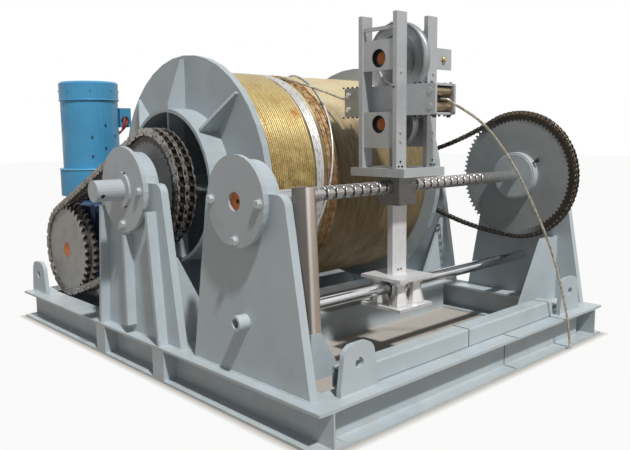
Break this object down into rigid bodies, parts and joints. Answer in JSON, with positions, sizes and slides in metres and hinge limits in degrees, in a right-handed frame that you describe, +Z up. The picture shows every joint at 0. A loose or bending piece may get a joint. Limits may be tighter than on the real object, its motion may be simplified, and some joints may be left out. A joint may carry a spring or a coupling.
{
  "type": "wire rope winch",
  "caption": "Skid-mounted wire rope puller: spoked drum on stands, double-row chain drive from an upright motor, chain-driven reversing screw with a rope guide tower.",
  "frame": {"origin": "middle of the skid's underside, on the middle cross beam", "axes": "+Z up, +X along the drum from the drive side to the level-wind side, +Y from the rope guide at the front to the motor at the rear"},
  "size_m": [2.6493, 3.1899, 1.87],
  "materials": {
    "skid_paint": "semi-gloss light blue-grey paint",
    "motor_blue": "semi-gloss blue paint",
    "bright_steel": "bright machined steel",
    "chrome": "polished hard chrome",
    "aluminium": "milled bare aluminium",
    "chain_steel": "oiled dark steel",
    "wire_rope": "greased stranded wire",
    "bronze": "plain bronze"
  },
  "bodies": {
    "skid": {"side_beam_left": "skid_paint", "side_beam_right": "skid_paint", "end_beam_front": "skid_paint", "end_beam_rear": "skid_paint", "cross_beam_front": "skid_paint", "cross_beam_middle": "skid_paint", "cross_beam_rear": "skid_paint", "front_box_member": "skid_paint", "motor_seat": "skid_paint", "screw_stand_left": "skid_paint", "screw_stand_right": "skid_paint", "drum_stand_left": "skid_paint", "drum_stand_right": "skid_paint", "screw_housing_left": "skid_paint", "screw_housing_right": "skid_paint", "drum_housing_left": "skid_paint", "drum_housing_right": "skid_paint", "drum_bearing_left": "bright_steel", "drum_bearing_right": "bright_steel", "screw_cover_left": "skid_paint", "screw_cover_right": "skid_paint", "drum_cover_left": "skid_paint", "drum_cover_right": "skid_paint", "guide_bar": "chrome", "chafe_tube": "bright_steel", "drive_chain": "chain_steel", "level_wind_chain": "chain_steel", "gearbox": "motor_blue", "motor": "motor_blue", "terminal_box": "motor_blue"},
    "drum": {"drum": "skid_paint", "drum_shaft": "skid_paint", "rope_pack": "wire_rope", "driven_sprocket": "chain_steel", "level_wind_pinion": "chain_steel"},
    "drive": {"drive_sprocket": "chain_steel", "output_shaft": "bright_steel"},
    "screw": {"reversing_screw": "chrome", "level_wind_sprocket": "skid_paint"},
    "carriage": {"nut_block": "aluminium", "follower_pawl": "bronze", "carriage_plate": "aluminium", "tower_side_left": "aluminium", "tower_side_right": "aluminium", "fairlead_plate_left": "aluminium", "fairlead_plate_right": "aluminium", "guide_hanger": "aluminium", "guide_tray": "aluminium", "rope_line": "wire_rope"},
    "upper_sheave": {"upper_sheave": "aluminium"},
    "lower_sheave": {"lower_sheave": "aluminium"},
    "fairlead_roller_front_low": {"fairlead_roller_front_low": "bright_steel"},
    "fairlead_roller_front_high": {"fairlead_roller_front_high": "bright_steel"},
    "fairlead_roller_rear_low": {"fairlead_roller_rear_low": "bright_steel"},
    "fairlead_roller_rear_high": {"fairlead_roller_rear_high": "bright_steel"},
    "spool_left_front": {"spool_left_front": "bright_steel"},
    "spool_left_rear": {"spool_left_rear": "bright_steel"},
    "spool_right_front": {"spool_right_front": "bright_steel"},
    "spool_right_rear": {"spool_right_rear": "bright_steel"}
  },
  "joints": [
    {"name": "drum_spin", "type": "hinge", "parent": "skid", "child": "drum", "pos_m": [0, 0.0265, 0.984], "axis": [1, 0, 0], "continuous": true},
    {"name": "drive_spin", "type": "hinge", "parent": "skid", "child": "drive", "pos_m": [-1.032, 1.161, 0.503], "axis": [1, 0, 0], "continuous": true},
    {"name": "screw_spin", "type": "hinge", "parent": "skid", "child": "screw", "pos_m": [0, -0.984, 0.986], "axis": [1, 0, 0], "continuous": true},
    {"name": "carriage_travel", "type": "slide", "parent": "skid", "child": "carriage", "axis": [1, 0, 0], "range_m": [-0.5, 0.7]},
    {"name": "upper_sheave_spin", "type": "hinge", "parent": "carriage", "child": "upper_sheave", "pos_m": [-0.121, -0.984, 1.65], "axis": [1, 0, 0], "continuous": true},
    {"name": "lower_sheave_spin", "type": "hinge", "parent": "carriage", "child": "lower_sheave", "pos_m": [-0.121, -0.984, 1.316], "axis": [1, 0, 0], "continuous": true},
    {"name": "fairlead_roller_front_low_spin", "type": "hinge", "parent": "carriage", "child": "fairlead_roller_front_low", "pos_m": [-0.121, -1.262, 1.399], "axis": [1, 0, 0], "continuous": true},
    {"name": "fairlead_roller_front_high_spin", "type": "hinge", "parent": "carriage", "child": "fairlead_roller_front_high", "pos_m": [-0.121, -1.262, 1.476], "axis": [1, 0, 0], "continuous": true},
    {"name": "fairlead_roller_rear_low_spin", "type": "hinge", "parent": "carriage", "child": "fairlead_roller_rear_low", "pos_m": [-0.121, -0.706, 1.399], "axis": [1, 0, 0], "continuous": true},
    {"name": "fairlead_roller_rear_high_spin", "type": "hinge", "parent": "carriage", "child": "fairlead_roller_rear_high", "pos_m": [-0.121, -0.706, 1.476], "axis": [1, 0, 0], "continuous": true},
    {"name": "spool_left_front_spin", "type": "hinge", "parent": "carriage", "child": "spool_left_front", "pos_m": [-0.186, -1.054, 0.444], "axis": [0, 0, 1], "continuous": true},
    {"name": "spool_left_rear_spin", "type": "hinge", "parent": "carriage", "child": "spool_left_rear", "pos_m": [-0.186, -0.914, 0.444], "axis": [0, 0, 1], "continuous": true},
    {"name": "spool_right_front_spin", "type": "hinge", "parent": "carriage", "child": "spool_right_front", "pos_m": [-0.056, -1.054, 0.444], "axis": [0, 0, 1], "continuous": true},
    {"name": "spool_right_rear_spin", "type": "hinge", "parent": "carriage", "child": "spool_right_rear", "pos_m": [-0.056, -0.914, 0.444], "axis": [0, 0, 1], "continuous": true}
  ],
  "couplings": [
    {"joint": "drive_spin", "follows": "drum_spin", "ratio": 1.0556},
    {"joint": "screw_spin", "follows": "drum_spin", "ratio": 0.25}
  ]
}
